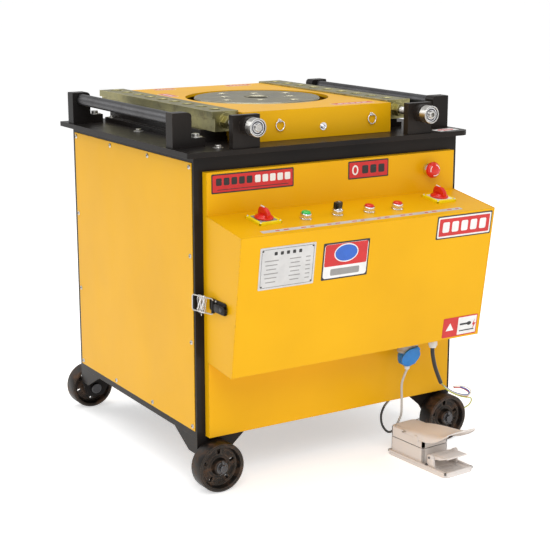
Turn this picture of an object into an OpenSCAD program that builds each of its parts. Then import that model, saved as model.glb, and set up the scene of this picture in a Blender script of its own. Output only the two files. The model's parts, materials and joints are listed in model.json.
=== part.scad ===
// Floor-standing rebar bending machine: a steel cabinet on four wheels, a raised
// head with a slotted-grid turntable, two screw-adjusted pin rails, two side
// rollers, a sloping control console on the door and a foot switch on a cord.
// Millimetres, +Z up, front towards -Y. Origin at the bottom centre.

/* [Table] */
// Width of the table plate
table_w = 800; // [700:10:900]
// Depth of the table plate
table_d = 713; // [600:1:800]
// Thickness of the table plate
table_t = 12; // [8:1:20]
// Height of the table's top face above the floor
table_z = 800; // [700:10:850]

/* [Cabinet] */
// Width over the angle-iron frame
frame_w = 748; // [650:2:800]
// Depth over the angle-iron frame
frame_d = 666; // [560:2:700]
// Height of the frame's bottom edge above the floor
frame_z = 124; // [110:1:160]
// Leg length of the corner angles
post_leg = 40; // [30:1:60]
// Height of the angle rails
rail_leg = 35; // [25:1:50]
// Wall thickness of the angles
angle_t = 4; // [3:1:6]
// Thickness of the side and back panels
panel_t = 1.5; // [1:0.1:3]

/* [Door and console] */
// Door width
door_w = 704; // [600:2:740]
// Height of the door's bottom edge
door_z0 = 128; // [125:1:150]
// Height of the door's top edge
door_z1 = 753; // [700:1:760]
// Width of the control console
console_w = 711; // [600:1:720]

/* [Turntable] */
// Turntable radius
disc_r = 162; // [140:1:180]
// Turntable thickness
disc_t = 50; // [30:1:60]
// Pitch of the square grid of pin holes
grid_pitch = 84; // [70:1:100]
// Radius of the grid holes
grid_hole_r = 15; // [10:1:20]
// Radius of the centre hole
centre_hole_r = 33; // [20:1:40]
// Turn of the grid at rest, degrees
grid_turn = -25; // [-45:1:45]

/* [Pin rails] */
// Length of each pin rail
pin_rail_l = 618; // [500:1:640]
// Number of pin holes in each rail
rail_holes = 9; // [5:1:11]
// Spacing of the rail's pin holes
rail_pitch = 67; // [50:1:80]
// Radius of the rail's pin holes
rail_hole_r = 16; // [10:1:20]

/* [Wheels] */
// Wheel radius
wheel_r = 60; // [50:1:80]
// Wheel width
wheel_w = 46; // [30:1:60]
// Axle radius
axle_r = 9; // [6:1:12]

/* [Hidden] */
$fn = 64;
table_y = 56;
fx = frame_w / 2;
fy = frame_d / 2;
plate_z = table_z - table_t;
disc_x = 6;
disc_y = 25;
disc_top = 872;
rail_x = 247;
screw_x = 244;
screw_z = 851.5;
roller_x = 370;
roller_z = 862;
wheel_x = 335;
panel_z0 = 140.5;
panel_z1 = 773.4;
panel_y0 = -325;
panel_y1 = 320;
door_y = -353;
door_back = -334;
hinge_x = 357;
hinge_y = -341;
latch_x = -363;
latch_y = -396;
console_top_back = [door_y, 654.8];
console_top_front = [-510, 630.6];
console_low_front = [-463.5, 303];
console_low_back = [door_y, 315];
top_slope = 8.76;
hole_gap = 0.05;
socket_pos = [185, -400];
gland_pos = [234, -438];
foot_turn = 4;
foot_x = 198;
worm_z = 700;
motor_y = 150;
motor_z = 272;

function console_top(y) = 654.8 + (y - door_y) * 24.2 / 157;
function console_under(y) = 315 + (y - door_y) * 12 / 110.5;

pedal_cord_route = [
    [185, -400, 221], [180.5, -395, 203], [177.5, -390, 181], [177, -392, 144],
    [175.4, -394, 107.5], [173.5, -388, 88], [169, -383, 72], [164, -377, 58],
    [157, -370, 52], [149.6, -363, 56.8], [142.4, -357, 72.9], [143.5, -352, 94.5],
    [158, -345, 113], [184, -328, 118], [214, -300, 118], [250, -264, 112],
    [300, -225, 105], [350, -192, 99], [400, -176, 72], [438, -172, 28],
    [446, -188, 5], [420, -212, 3.5], [368, -222, 3.5], [305, -250, 3.5],
    [250, -298, 6], [212, -346, 17], [191.5, -368, 21]
];
sheath_route = [
    [234, -438, 280], [235, -438, 262], [243, -437, 232], [256, -434, 204], [270, -430, 180]
];
core_ends = [
    [
        [270, -425.2, 180], [288, -424, 163], [313.5, -422, 145.4], [341.4, -421, 131], [363, -421, 125.8],
        [372, -421, 131], [363, -421, 141], [343, -421, 152], [320, -421, 156.5]
    ],
    [
        [270, -428.4, 180], [283.5, -428.8, 165.5], [307.5, -429, 148.5], [334.5, -429, 136], [357, -429, 130.5],
        [365, -429, 135.5], [355, -429, 145.5], [334, -429, 155.5]
    ],
    [
        [270, -431.6, 180], [281, -433, 166.5], [302, -435, 151], [329, -436, 138.5], [352, -436, 132.5],
        [364, -436, 139], [356, -436, 151], [332, -436, 161], [306, -436, 164.5]
    ],
    [
        [270, -434.8, 180], [279, -438, 168], [297, -441, 155], [323, -443, 141.5], [345, -443, 134.5],
        [358, -443, 131], [360, -443, 122], [352, -443, 113], [338, -443, 108]
    ]
];

black = [0.05, 0.05, 0.06];
yellow = [0.93, 0.66, 0.08];
steel = [0.6, 0.6, 0.58];
zinc = [0.62, 0.58, 0.42];
red = [0.75, 0.08, 0.06];

module at_table() {
    translate([0, table_y, 0]) children();
}

module both_sides() {
    children();
    mirror([1, 0, 0]) children();
}

// Rod along Y between two depths
module rod_y(x, y0, y1, z, r) {
    translate([x, y1, z]) rotate([90, 0, 0]) cylinder(r = r, h = y1 - y0);
}

// Rod along X between two widths
module rod_x(x0, x1, y, z, r) {
    translate([x0, y, z]) rotate([0, 90, 0]) cylinder(r = r, h = x1 - x0);
}

module block(x0, x1, y0, y1, z0, z1) {
    translate([x0, y0, z0]) cube([x1 - x0, y1 - y0, z1 - z0]);
}

// ---- frame ----
module post() {
    difference() {
        block(-fx, -fx + post_leg, -fy, -fy + post_leg, frame_z, plate_z);
        block(-fx + angle_t, -fx + post_leg + 1, -fy + angle_t, -fy + post_leg + 1, frame_z - 1, plate_z + 1);
    }
}

// Angle rail between the posts, with its flat leg at height flat_z
module rail_ring(z0, flat_z) {
    inner_x = fx - post_leg - hole_gap;
    inner_y = fy - post_leg - hole_gap;
    for (s = [0, 1]) mirror([0, s, 0]) {
        block(-inner_x, inner_x, -fy, -fy + angle_t, z0, z0 + rail_leg);
        block(-inner_x, inner_x, -fy + angle_t, -fy + rail_leg, flat_z, flat_z + angle_t);
    }
    both_sides() {
        block(-fx, -fx + angle_t, -inner_y, inner_y, z0, z0 + rail_leg);
        block(-fx + angle_t, -fx + rail_leg, -inner_y, inner_y, flat_z, flat_z + angle_t);
    }
}

module cabinet_frame() {
    color(black) at_table() {
        both_sides() {
            post();
            mirror([0, 1, 0]) post();
        }
        rail_ring(plate_z - rail_leg, plate_z - angle_t);
        rail_ring(frame_z, frame_z);
    }
}

module wheel_bracket() {
    difference() {
        union() {
            translate([0, -fy + angle_t, 0]) rotate([90, 0, 0]) linear_extrude(angle_t)
                polygon([[-fx, frame_z], [-242, frame_z], [-279, 92], [-312, 38], [-358, 38], [-fx, 84]]);
            translate([-fx, 0, 0]) rotate([90, 0, 90]) linear_extrude(angle_t)
                polygon([[-fy, frame_z], [-219, frame_z], [-290, 84], [-fy, 84]]);
        }
        rod_y(-wheel_x, -fy - 1, -fy + angle_t + 1, 60, axle_r);
    }
}

module wheel_brackets() {
    color(black) at_table() both_sides() for (s = [0, 1]) mirror([0, s, 0]) wheel_bracket();
}

module table_plate() {
    corner = 25;
    small = 4;
    hx = table_w / 2;
    hy = table_d / 2;
    color(black) at_table() translate([0, 0, plate_z]) difference() {
        linear_extrude(table_t) difference() {
            square([table_w, table_d], center = true);
            translate([hx - corner, -hy]) difference() {
                translate([0, -1]) square([corner + 1, corner + 1]);
                translate([0, corner]) circle(r = corner);
            }
            translate([-hx, -hy]) difference() {
                translate([-1, -1]) square([small + 1, small + 1]);
                translate([small, small]) circle(r = small);
            }
        }
        translate([disc_x, disc_y, -1]) cylinder(r = 50, h = table_t + 2);
    }
}

module left_panel() {
    color(yellow) at_table() block(-fx - panel_t, -fx, panel_y0, panel_y1, panel_z0, panel_z1);
}

module right_panel() {
    color(yellow) at_table() block(fx, fx + panel_t, panel_y0, panel_y1, panel_z0, panel_z1);
}

module back_panel() {
    color(yellow) at_table() block(-361, 361, fy, fy + panel_t, panel_z0, panel_z1);
}

module screw_head() {
    cylinder(r = 5.5, h = 1.6, $fn = 24);
    translate([0, 0, 1.6]) cylinder(r1 = 5.5, r2 = 3, h = 1.4, $fn = 24);
}

// Twelve screws spread along a panel's rim
module rim_screws(u0, u1) {
    rise = (panel_z1 - panel_z0 - 20) / 3;
    for (i = [0:3]) for (k = [0:3]) if (i == 0 || i == 3 || k == 0 || k == 3)
        translate([u0 + (u1 - u0) * i / 3, panel_z0 + 10 + rise * k, 0]) screw_head();
}

module panel_screws() {
    color(steel) at_table() {
        both_sides() translate([fx + panel_t, 0, 0]) rotate([90, 0, 90])
            rim_screws(panel_y0 + 10, panel_y1 - 10);
        translate([0, fy + panel_t, 0]) rotate([90, 0, 180]) rim_screws(-351, 351);
    }
}

// ---- head and turntable ----
module head_box() {
    head_x = 212.5;
    y0 = -274.6;
    y1 = 352;
    color(yellow) at_table() difference() {
        block(-head_x, head_x, y0, y1, table_z, disc_top - 0.2);
        block(-head_x + 6, head_x - 6, y0 + 6, y1 - 6, table_z - 1, disc_top - 8);
        translate([disc_x, disc_y, disc_top - 20]) cylinder(r = 184, h = 30);
    }
}

module head_fittings() {
    color(steel) at_table() {
        for (x = [-112, 153]) difference() {
            block(x - 2, x + 2, -282.6, -274.6, 843, 851);
            rod_x(x - 3, x + 3, -279, 847, 2.3);
        }
        rod_y(12, -280.6, -274.6, 826, 6);
    }
}

module pull_ring(x) {
    color(steel) at_table() translate([x, -279, 835.4]) rotate([90, 0, 0])
        rotate_extrude() translate([11.6, 0]) circle(r = 1.5, $fn = 16);
}

module left_pull_ring() {
    pull_ring(-112);
}

module right_pull_ring() {
    pull_ring(153);
}

module turntable() {
    chamfer = 3;
    color(steel) at_table() translate([disc_x, disc_y, disc_top - disc_t]) difference() {
        union() {
            cylinder(r = disc_r, h = disc_t - chamfer);
            translate([0, 0, disc_t - chamfer]) cylinder(r1 = disc_r, r2 = disc_r - chamfer, h = chamfer);
        }
        translate([0, 0, -1]) cylinder(r = centre_hole_r, h = disc_t + 2);
        translate([0, 0, disc_t - chamfer])
            cylinder(r1 = centre_hole_r, r2 = centre_hole_r + chamfer, h = chamfer);
        rotate([0, 0, grid_turn]) for (i = [-1:1]) for (k = [-1:1]) if (i != 0 || k != 0)
            translate([i * grid_pitch, k * grid_pitch, 0]) {
                translate([0, 0, -1]) cylinder(r = grid_hole_r, h = disc_t + 2);
                translate([0, 0, disc_t - 2]) cylinder(r1 = grid_hole_r, r2 = grid_hole_r + 2, h = 2);
            }
    }
}

module main_shaft() {
    wheel_z = worm_z - 18;
    teeth = 40;
    color(steel) at_table() translate([disc_x, disc_y, 0]) {
        translate([0, 0, 806]) cylinder(r = 64, h = disc_top - disc_t - 806);
        translate([0, 0, 662]) cylinder(r = 32, h = 144);
        difference() {
            translate([0, 0, wheel_z]) cylinder(r = 100, h = 36);
            for (k = [0:teeth - 1]) rotate([0, 0, k * 360 / teeth])
                translate([92, -3.5, wheel_z - 1]) cube([12, 7, 38]);
        }
    }
}

module gearbox_case() {
    color(yellow) at_table() difference() {
        block(-140, 152, -110, 205, 640, plate_z);
        block(-128, 140, -98, 193, 655, plate_z + 1);
        translate([disc_x, disc_y, 645]) cylinder(r = 32 + hole_gap, h = 20);
        rod_x(-141, 153, 150, worm_z, 14 + hole_gap);
    }
}

// Worm on its shaft, with the driven pulley outside the case
module worm_shaft() {
    color(steel) at_table() {
        rod_x(-206, 150, 150, worm_z, 14);
        rod_x(-60, 72, 150, worm_z, 19);
        for (k = [0:6]) rod_x(-50 + k * 16, -43 + k * 16, 150, worm_z, 24);
        grooved_pulley(-204, 150, worm_z, 80);
    }
}

// Two-groove V-belt pulley, width 44
module grooved_pulley(x, y, z, r) {
    difference() {
        rod_x(x, x + 44, y, z, r);
        for (g = [8, 26]) translate([x + g, y, z]) rotate([0, 90, 0]) difference() {
            cylinder(r = r + 1, h = 10);
            translate([0, 0, -1]) cylinder(r = r - 10, h = 12);
        }
    }
}

module drive_motor() {
    color([0.25, 0.3, 0.32]) at_table() {
        difference() {
            union() {
                rod_x(-110, 130, motor_y, motor_z, 82);
                for (a = [0:15:345]) translate([-80, motor_y, motor_z]) rotate([a, 0, 0])
                    block(0, 180, -2, 2, 78, 90);
                rod_x(130, 160, motor_y, motor_z, 78);
                block(-30, 70, motor_y + 60, motor_y + 112, motor_z + 30, motor_z + 95);
                for (x = [-80, 70]) block(x, x + 40, motor_y - 70, motor_y + 70, 165, motor_z - 60);
            }
            rod_x(-111, -60, motor_y, motor_z, 14 + hole_gap);
        }
    }
}

module motor_pulley() {
    color(steel) at_table() {
        rod_x(-206, -60, motor_y, motor_z, 14);
        grooved_pulley(-204, motor_y, motor_z, 48);
    }
}

// Belt outline round two pulleys, upper radius a, lower radius b, distance c
module belt_outline(a, b, c) {
    hull() {
        circle(r = b);
        translate([0, c]) circle(r = a);
    }
}

module v_belts() {
    color(black) at_table() for (g = [8.5, 26.5]) translate([-204 + g, motor_y, motor_z]) rotate([90, 0, 90])
        linear_extrude(9) difference() {
            belt_outline(79, 47, worm_z - motor_z);
            belt_outline(70.3, 38.3, worm_z - motor_z);
        }
}

module motor_shelf() {
    color(black) at_table() block(-fx + 0.5, fx - 0.5, 40, 290, frame_z + rail_leg, 165);
}

// ---- pin rails ----
module pin_rail() {
    y0 = -258;
    y1 = y0 + pin_rail_l;
    color(zinc) difference() {
        union() {
            block(213.5, 283, y0, y1, 860, 876);
            block(220, 276, y0, y1, 829, 860);
            translate([screw_x, y0, screw_z]) rotate([90, 0, 0]) cylinder(r = 17, h = 20, $fn = 6);
            rod_y(screw_x, y0 - 3, y0, screw_z, 21);
        }
        rod_y(screw_x, y0 - 21, y0 + 30, screw_z, axle_r + hole_gap);
        for (k = [0:rail_holes - 1]) translate([rail_x, -208 + k * rail_pitch, 828]) {
            cylinder(r = rail_hole_r, h = 50);
            translate([0, 0, 46.5]) cylinder(r1 = rail_hole_r, r2 = rail_hole_r + 2, h = 2);
        }
    }
}

module left_pin_rail() {
    at_table() mirror([1, 0, 0]) pin_rail();
}

module right_pin_rail() {
    at_table() pin_rail();
}

module rail_guides() {
    color(black) at_table() both_sides() {
        block(213, 300, -204, 292, table_z, 812);
        block(216, 285, -204, 292, 812, 828.9);
    }
}

module lead_screw(x, hex_recess) {
    color(steel) difference() {
        union() {
            rod_y(x, -402, -240, screw_z, axle_r);
            rod_y(x, -329, -325, screw_z, 15);
        }
        if (hex_recess) translate([x, -393, screw_z]) rotate([90, 0, 0]) cylinder(r = 5.5, h = 12, $fn = 6);
    }
}

module left_lead_screw() {
    at_table() lead_screw(-screw_x, false);
}

module right_lead_screw() {
    at_table() lead_screw(screw_x, true);
}

module screw_housings() {
    color(black) at_table() both_sides() difference() {
        union() {
            block(210, 281, -349, -331, table_z, 876);
            rod_y(screw_x, -398, -349, screw_z, 21);
        }
        rod_y(screw_x, -399, -352, screw_z, 17.5);
        rod_y(screw_x, -353, -330, screw_z, axle_r + hole_gap);
    }
}

module screw_bearings() {
    color(steel) at_table() both_sides() for (y = [-396, -364]) difference() {
        rod_y(screw_x, y, y + 10, screw_z, 17.5);
        rod_y(screw_x, y - 1, y + 11, screw_z, axle_r + hole_gap);
    }
}

// ---- side rollers ----
module roller_bracket(y0) {
    translate([0, y0 + 32, 0]) rotate([90, 0, 0]) difference() {
        linear_extrude(32) difference() {
            union() {
                translate([345, table_z]) square([49, 80]);
                translate([310, table_z]) square([35, 21]);
            }
            for (x = [345, 394]) translate([x, 880]) rotate([0, 0, x < 350 ? 0 : 90]) difference() {
                translate([-1, -10]) square([11, 11]);
                translate([10, -10]) circle(r = 10);
            }
        }
        translate([roller_x, roller_z, y0 < 0 ? -1 : 14]) cylinder(r = 8 + hole_gap, h = 19);
    }
}

module roller_brackets() {
    color(black) at_table() both_sides() {
        roller_bracket(-273);
        roller_bracket(283);
    }
}

module roller(x) {
    color([0.2, 0.2, 0.21]) at_table() {
        rod_y(x, -240, 282, roller_z, 14.5);
        rod_y(x, -258, 300, roller_z, 8);
    }
}

module left_roller() {
    roller(-roller_x);
}

module right_roller() {
    roller(roller_x);
}

module hex_bolt(x, y, z, across) {
    translate([x, y, z]) cylinder(r = across / 1.732, h = across * 0.4, $fn = 6);
}

module plate_bolts() {
    color(steel) at_table() both_sides() {
        for (y = [-257, 299]) hex_bolt(327, y, 821, 17);
        for (y = [-307, 56]) hex_bolt(y < 0 ? 296 : 318, y, table_z, 13);
        for (y = [-180, 268]) hex_bolt(292.4, y, 812, 10);
    }
}

// ---- wheels ----
module wheel(x, y, flip) {
    color([0.12, 0.11, 0.1]) at_table() translate([x, y, 60]) rotate([flip ? -90 : 90, 0, 0]) difference() {
        union() {
            difference() {
                cylinder(r = wheel_r, h = wheel_w);
                translate([0, 0, wheel_w - 12]) cylinder(r = 49, h = 13);
                translate([0, 0, -1]) cylinder(r = 49, h = 11);
            }
            translate([0, 0, -2]) cylinder(r = 18, h = wheel_w - 4);
        }
        translate([0, 0, -3]) cylinder(r = axle_r + hole_gap, h = wheel_w + 6);
        for (a = [18:72:306]) rotate([0, 0, a]) translate([36, 0, -1]) cylinder(r = 6, h = wheel_w + 2);
    }
}

module front_left_wheel() {
    wheel(-wheel_x, -337, false);
}

module front_right_wheel() {
    wheel(wheel_x, -337, false);
}

module rear_left_wheel() {
    wheel(-wheel_x, 346, true);
}

module rear_right_wheel() {
    wheel(wheel_x, 346, true);
}

module axles() {
    color(steel) at_table() both_sides() {
        rod_y(wheel_x, -391, -329, 60, axle_r);
        rod_y(wheel_x, -329, -321, 60, 14);
        rod_y(wheel_x, -384, -380.5, 60, 15);
        translate([wheel_x, -387, 45]) cylinder(r = 1.6, h = 30, $fn = 16);
        rod_y(wheel_x, 329, 398, 60, axle_r);
        rod_y(wheel_x, 321, 329, 60, 14);
        rod_y(wheel_x, 333, 343.5, 60, 15);
        rod_y(wheel_x, 389.5, 392.5, 60, 15);
        translate([wheel_x, 395, 45]) cylinder(r = 1.6, h = 30, $fn = 16);
    }
}

// ---- door ----
module door_side() {
    hx = door_w / 2;
    difference() {
        block(-hx, hx, door_y, door_back, door_z0, door_z1);
        block(-hx + 2, hx - 2, door_y + 2, door_back + 1, door_z0 + 2, door_z1 - 2);
    }
}

module door() {
    color(yellow) at_table() door_side();
}

hinge_heights = [210, 665];

module door_hinges() {
    color(black) at_table() for (z = hinge_heights) difference() {
        union() {
            translate([hinge_x, hinge_y, z + 40]) cylinder(r = 4.5, h = 40);
            block(door_w / 2, hinge_x, hinge_y - 2, hinge_y + 2, z + 40, z + 80);
        }
        translate([hinge_x, hinge_y, z + 39]) cylinder(r = 2.5 + hole_gap, h = 42);
    }
}

module frame_hinges() {
    color(black) at_table() for (z = hinge_heights) {
        translate([hinge_x, hinge_y, z]) cylinder(r = 4.5, h = 39.9);
        translate([hinge_x, hinge_y, z]) cylinder(r = 2.5, h = 78);
        block(hinge_x - 2, hinge_x + 2, hinge_y, -fy, z, z + 39.9);
    }
}

// Catch plate on the post, turned back at its outer edge
module latch_keeper() {
    color(black) at_table() {
        block(-378, -354, -337, -fy, 441, 471);
        block(-378, -374, -337, -327, 441, 471);
    }
}

// Latch body on the console's left cheek
module latch_base() {
    cheek = -console_w / 2;
    color(black) at_table() {
        block(cheek - 3, cheek, -446, -372, 444, 472);
        block(cheek - 10.5, cheek - 3, -452, -404, 447, 466);
        difference() {
            block(latch_x - 4, cheek - 3, -400, -392, 441.5, 470.5);
            translate([latch_x, latch_y, 440]) cylinder(r = 1.9, h = 32);
        }
        rod_x(cheek - 12.5, cheek - 10.5, -436, 458, 5);
    }
}

// Wire loop from the pivot in the latch body to its free end bar
module latch_bail() {
    reach = [-380.2 - latch_x, -331 - latch_y];
    turn = atan2(reach[1], reach[0]);
    color(steel) at_table() translate([latch_x, latch_y, 438]) rotate([0, 0, turn]) {
        for (u = [0, norm(reach)]) translate([u, 0, 0]) cylinder(r = 1.7, h = 36);
        for (z = [0, 36]) rod_x(0, norm(reach), 0, z, 1.7);
    }
}

// ---- console ----
module console_section(inset) {
    offset(delta = -inset)
        polygon([console_top_back, console_top_front, console_low_front, console_low_back]);
}

module console_box() {
    w = console_w / 2;
    color(yellow) at_table() difference() {
        translate([-w, 0, 0]) rotate([90, 0, 90]) linear_extrude(console_w)
            polygon([console_top_back, console_top_front, console_low_front, console_low_back]);
        translate([-w + 2, 0, 0]) rotate([90, 0, 90]) linear_extrude(console_w - 4)
            polygon([[door_y + 1, 652.6], [-507.7, 628.5], [-461.8, 305.2], [door_y + 1, 317]]);
    }
}

// Places children on the console's sloping top, Z square to the surface
module on_top(x, y) {
    translate([x, y, console_top(y)]) rotate([top_slope, 0, 0]) children();
}

switch_spots = [[-242, -417], [263, -410]];

module switch_bases() {
    color(yellow) at_table() for (p = switch_spots) on_top(p[0], p[1]) difference() {
        translate([-30, -30, 0]) cube([60, 60, 7]);
        translate([0, 0, 1]) cylinder(r = 8 + hole_gap, h = 10);
    }
}

module switch_handle(p) {
    color(red) at_table() on_top(p[0], p[1]) {
        translate([0, 0, 1]) cylinder(r = 8, h = 8);
        translate([0, 0, 7.4]) cylinder(r = 22, h = 5);
        translate([-7, -21, 12.4]) cube([14, 42, 18]);
    }
}

module left_switch_handle() {
    switch_handle(switch_spots[0]);
}

module right_switch_handle() {
    switch_handle(switch_spots[1]);
}

button_spots = [[-142, -436], [-54, -434], [32, -439], [112, -442]];

module bezels() {
    color([0.8, 0.8, 0.82]) at_table() {
        for (p = button_spots) on_top(p[0], p[1]) difference() {
            union() {
                cylinder(r = 14.3, h = 3);
                cylinder(r = 12.5, h = 14);
            }
            translate([0, 0, 1]) cylinder(r = 11, h = 14);
        }
        difference() {
            rod_y(271, door_y - 10, door_y, 712, 15);
            rod_y(271, door_y - 11, door_y - 1, 712, 9);
        }
    }
}

module push_button(k, paint) {
    color(paint) at_table() on_top(button_spots[k][0], button_spots[k][1])
        translate([0, 0, 4.2]) cylinder(r = 10.6, h = 14.3);
}

module green_button() {
    push_button(0, [0.05, 0.5, 0.2]);
}

module red_button() {
    push_button(2, red);
}

module second_red_button() {
    push_button(3, red);
}

module selector_knob() {
    color(black) at_table() on_top(button_spots[1][0], button_spots[1][1]) {
        translate([0, 0, 1.2]) cylinder(r = 10.6, h = 14.8);
        rotate([0, 0, 18]) translate([-10.5, -6.5, 16]) cube([21, 13, 15]);
    }
}

module emergency_stop() {
    color(red) at_table() {
        rod_y(271, -369, door_y - 5, 712, 8.6);
        rod_y(271, -381, -369, 712, 19.7);
        rod_y(271, -385, -381, 712, 15);
    }
}

// Tag on the console's leaning front, between two widths and two heights
module front_tag(x0, x1, z0, z1) {
    lean = 8.08;
    translate([x0, -463.5 - (z0 - 303) * 46.5 / 327.6, z0]) rotate([lean, 0, 0])
        translate([0, -0.8, 0]) cube([x1 - x0, 0.8, (z1 - z0) / cos(lean)]);
}

module label_plates() {
    color([0.8, 0.8, 0.8]) at_table() {
        block(-340, -122, door_y - 0.8, door_y, 703.5, 748);
        block(32, 150, door_y - 0.8, door_y, 705, 748);
        front_tag(-304, -158, 505, 603);
        front_tag(-137, -10, 507, 595);
        front_tag(183, 350, 568, 625);
        front_tag(240, 347, 306, 359);
    }
}

// ---- foot switch and its socket ----
module pedal_socket() {
    color([0.6, 0.62, 0.62]) at_table() difference() {
        translate([socket_pos[0], socket_pos[1], 268]) cylinder(r = 26, h = 41);
        translate([socket_pos[0], socket_pos[1], 267]) cylinder(r = 17, h = 16);
        translate([150, -440, console_under(-400)]) rotate([6.2, 0, 0]) translate([0, -40, 0]) cube([80, 130, 30]);
    }
    color([0.85, 0.85, 0.82]) at_table() difference() {
        union() {
            translate([gland_pos[0], gland_pos[1], 280]) cylinder(r = 9, h = 30);
            translate([gland_pos[0], gland_pos[1], 286]) cylinder(r = 12.5, h = 12, $fn = 6);
        }
        translate([200, -470, console_under(-438)]) rotate([6.2, 0, 0]) translate([0, -40, 0]) cube([80, 130, 30]);
    }
}

module pedal_plug() {
    color([0.05, 0.2, 0.6]) at_table() translate([socket_pos[0], socket_pos[1], 0]) {
        translate([0, 0, 268]) cylinder(r = 17, h = 15);
        translate([0, 0, 238]) cylinder(r = 23, h = 30);
        translate([0, 0, 222]) cylinder(r1 = 7, r2 = 19, h = 16);
    }
}

module at_foot() {
    at_table() translate([foot_x, -484, 0]) rotate([0, 0, foot_turn]) children();
}

module foot_base() {
    color([0.7, 0.68, 0.62]) at_foot() {
        translate([-46, -106, 0]) cube([92, 212, 8]);
        difference() {
            translate([-46, -106, 8]) cube([92, 212, 5]);
            translate([-42, -102, 7]) cube([84, 204, 7]);
        }
        for (x = [-40, 34]) translate([x, -56, 8]) difference() {
            cube([6, 20, 38]);
            translate([-1, 10, 28]) rotate([0, 90, 0]) cylinder(r = 3, h = 8);
        }
    }
}

// Rear case with the guard hood standing over the pedal
hood_line = [[60, 76], [20, 86], [-30, 92], [-70, 98], [-108, 112]];

module foot_housing() {
    under = [for (p = hood_line) p - [0, 4]];
    skirt_low = [[-100, 100], [-60, 78], [-24, 66], [0, 60], [60, 60]];
    color([0.72, 0.7, 0.64]) at_foot() difference() {
        union() {
            translate([-41, -20, 8]) cube([82, 121, 68]);
            translate([-46, 0, 0]) rotate([90, 0, 90]) linear_extrude(92)
                polygon(concat(hood_line, [for (k = [4:-1:0]) under[k]]));
            for (x = [-46, 42]) translate([x, 0, 0]) rotate([90, 0, 90]) linear_extrude(4)
                polygon(concat(under, skirt_low));
        }
        translate([-38, -17, 7]) cube([76, 115, 66]);
        translate([-33, -21, 12]) cube([66, 8, 28]);
        translate([0, 102, 21]) rotate([90, 0, 0]) cylinder(r = 5, h = 8);
    }
}

module foot_pedal() {
    color([0.3, 0.3, 0.3]) at_foot() {
        translate([-40.1, -46, 36]) rotate([0, 90, 0]) cylinder(r = 2.95, h = 80.2);
        translate([-33, -46, 36]) rotate([0, 90, 0]) cylinder(r = 6, h = 66);
        translate([-32, 0, 0]) rotate([90, 0, 90]) linear_extrude(64)
            polygon([[-24, 34], [-46, 42], [-98, 46], [-98, 41], [-46, 31], [-24, 30]]);
    }
}

// ---- cords ----
function spot(p, s) = let (n = len(p) - 1, i = min(floor(s), n - 1), t = s - i,
    a = p[max(i - 1, 0)], b = p[i], c = p[i + 1], d = p[min(i + 2, n)])
    0.5 * (2 * b + (c - a) * t + (2 * a - 5 * b + 4 * c - d) * t * t + (3 * b - a - 3 * c + d) * t * t * t);
function unit(v) = v / norm(v);
function flat(v, d) = unit(v - d * (v * d));
function frames(p, n, k = 0, last = [1, 0, 0]) = k > n ? [] :
    let (s = k * (len(p) - 1) / n, h = 0.02,
        d = unit(spot(p, min(s + h, len(p) - 1)) - spot(p, max(s - h, 0))),
        u = flat(last, d)) concat([[spot(p, s), u, cross(d, u)]], frames(p, n, k + 1, u));

module cord_tube(p, rings, r, sides) {
    f = frames(p, rings);
    step = 360 / sides;
    verts = [for (g = f) for (a = [0:sides - 1]) g[0] + r * (cos(a * step) * g[1] + sin(a * step) * g[2])];
    walls = [for (k = [0:rings - 1]) for (a = [0:sides - 1]) let (b = (a + 1) % sides)
        [k * sides + a, (k + 1) * sides + a, (k + 1) * sides + b, k * sides + b]];
    near_end = [[for (a = [0:sides - 1]) a]];
    far_end = [[for (a = [sides - 1:-1:0]) rings * sides + a]];
    polyhedron(verts, concat(near_end, walls, far_end));
}

module pedal_cord() {
    color([0.6, 0.6, 0.6]) at_table() cord_tube(pedal_cord_route, 78, 3, 8);
}

module power_sheath() {
    color(black) at_table() cord_tube(sheath_route, 10, 5, 10);
}

module power_cores() {
    color(red) at_table() for (p = core_ends) cord_tube(p, 30, 1.5, 8);
}

cabinet_frame();
wheel_brackets();
table_plate();
left_panel();
right_panel();
back_panel();
panel_screws();
head_box();
head_fittings();
turntable();
main_shaft();
gearbox_case();
worm_shaft();
drive_motor();
motor_pulley();
v_belts();
motor_shelf();
left_pin_rail();
right_pin_rail();
rail_guides();
left_lead_screw();
right_lead_screw();
screw_housings();
screw_bearings();
left_roller();
right_roller();
roller_brackets();
plate_bolts();
front_left_wheel();
front_right_wheel();
rear_left_wheel();
rear_right_wheel();
axles();
left_pull_ring();
right_pull_ring();
door();
door_hinges();
frame_hinges();
latch_keeper();
latch_base();
latch_bail();
console_box();
switch_bases();
left_switch_handle();
right_switch_handle();
bezels();
green_button();
red_button();
second_red_button();
selector_knob();
emergency_stop();
label_plates();
pedal_socket();
pedal_plug();
foot_base();
foot_housing();
foot_pedal();
pedal_cord();
power_sheath();
power_cores();
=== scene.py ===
"""Looks for a cabinet-type rebar bending machine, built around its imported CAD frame."""
import json
import math

import bmesh
import bpy
from mathutils import Matrix, Vector


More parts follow.
